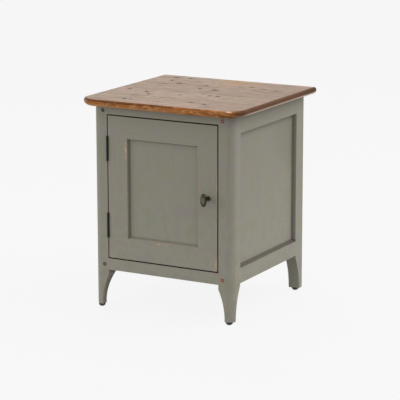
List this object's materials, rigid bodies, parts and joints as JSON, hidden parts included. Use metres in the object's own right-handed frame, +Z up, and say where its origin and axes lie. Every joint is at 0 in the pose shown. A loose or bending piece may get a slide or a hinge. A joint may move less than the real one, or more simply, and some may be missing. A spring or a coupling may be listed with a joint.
{
  "type": "storage side table",
  "caption": "Square side table with a cupboard below its top: shaped legs, panelled sides, and a framed door with an oval knob, hung on butt hinges.",
  "frame": {"origin": "on the floor, under the centre of the table top and of the whole bounding box", "axes": "+Z up, -Y towards the front with the door, +X to the right of someone who faces the door"},
  "size_m": [0.462, 0.4471, 0.55],
  "materials": {
    "painted_wood": "worn satin sage grey paint",
    "stained_wood": "satin varnished brown wood with darker streaks",
    "bare_wood": "plain unpainted wood",
    "peg_wood": "dark stained wood",
    "dark_bronze": "dark bronze, worn",
    "steel": "zinc plated",
    "magnet": "dull grey",
    "case_plastic": "matte brown",
    "dark_plastic": "matte black"
  },
  "bodies": {
    "carcass": {"back_bottom_rail": "painted_wood", "back_left_foot_pad": "dark_plastic", "back_left_post": "painted_wood", "back_panel": "painted_wood", "back_right_foot_pad": "dark_plastic", "back_right_post": "painted_wood", "back_top_rail": "painted_wood", "catch_case": "case_plastic", "catch_magnet": "magnet", "catch_screws": "steel", "cleat_screws": "steel", "floor_board": "bare_wood", "front_bottom_rail": "painted_wood", "front_left_foot_pad": "dark_plastic", "front_left_post": "painted_wood", "front_right_foot_pad": "dark_plastic", "front_right_post": "painted_wood", "front_top_rail": "painted_wood", "hinge_frame_screws": "steel", "joint_pegs": "peg_wood", "left_bottom_rail": "painted_wood", "left_floor_cleat": "bare_wood", "left_shelf_cleat": "bare_wood", "left_side_bead": "painted_wood", "left_side_panel": "painted_wood", "left_top_rail": "painted_wood", "lower_hinge_frame_leaf": "dark_bronze", "lower_hinge_pin": "dark_bronze", "right_bottom_rail": "painted_wood", "right_floor_cleat": "bare_wood", "right_shelf_cleat": "bare_wood", "right_side_bead": "painted_wood", "right_side_panel": "painted_wood", "right_top_rail": "painted_wood", "shelf": "bare_wood", "table_top": "stained_wood", "top_buttons": "bare_wood", "top_screws": "steel", "upper_hinge_frame_leaf": "dark_bronze", "upper_hinge_pin": "dark_bronze"},
    "door": {"door_bead": "painted_wood", "door_bottom_rail": "painted_wood", "door_hinge_stile": "painted_wood", "door_lock_stile": "painted_wood", "door_panel": "painted_wood", "door_top_rail": "painted_wood", "knob": "dark_bronze", "knob_bolt": "steel", "strike_plate": "steel", "strike_screw": "steel", "upper_hinge_door_leaf": "dark_bronze", "lower_hinge_door_leaf": "dark_bronze", "hinge_door_screws": "steel"}
  },
  "joints": [
    {"name": "door_hinge", "type": "hinge", "parent": "carcass", "child": "door", "pos_m": [-0.1596, -0.1934, 0.32125], "axis": [0, 0, -1], "range_deg": [0, 170]}
  ]
}
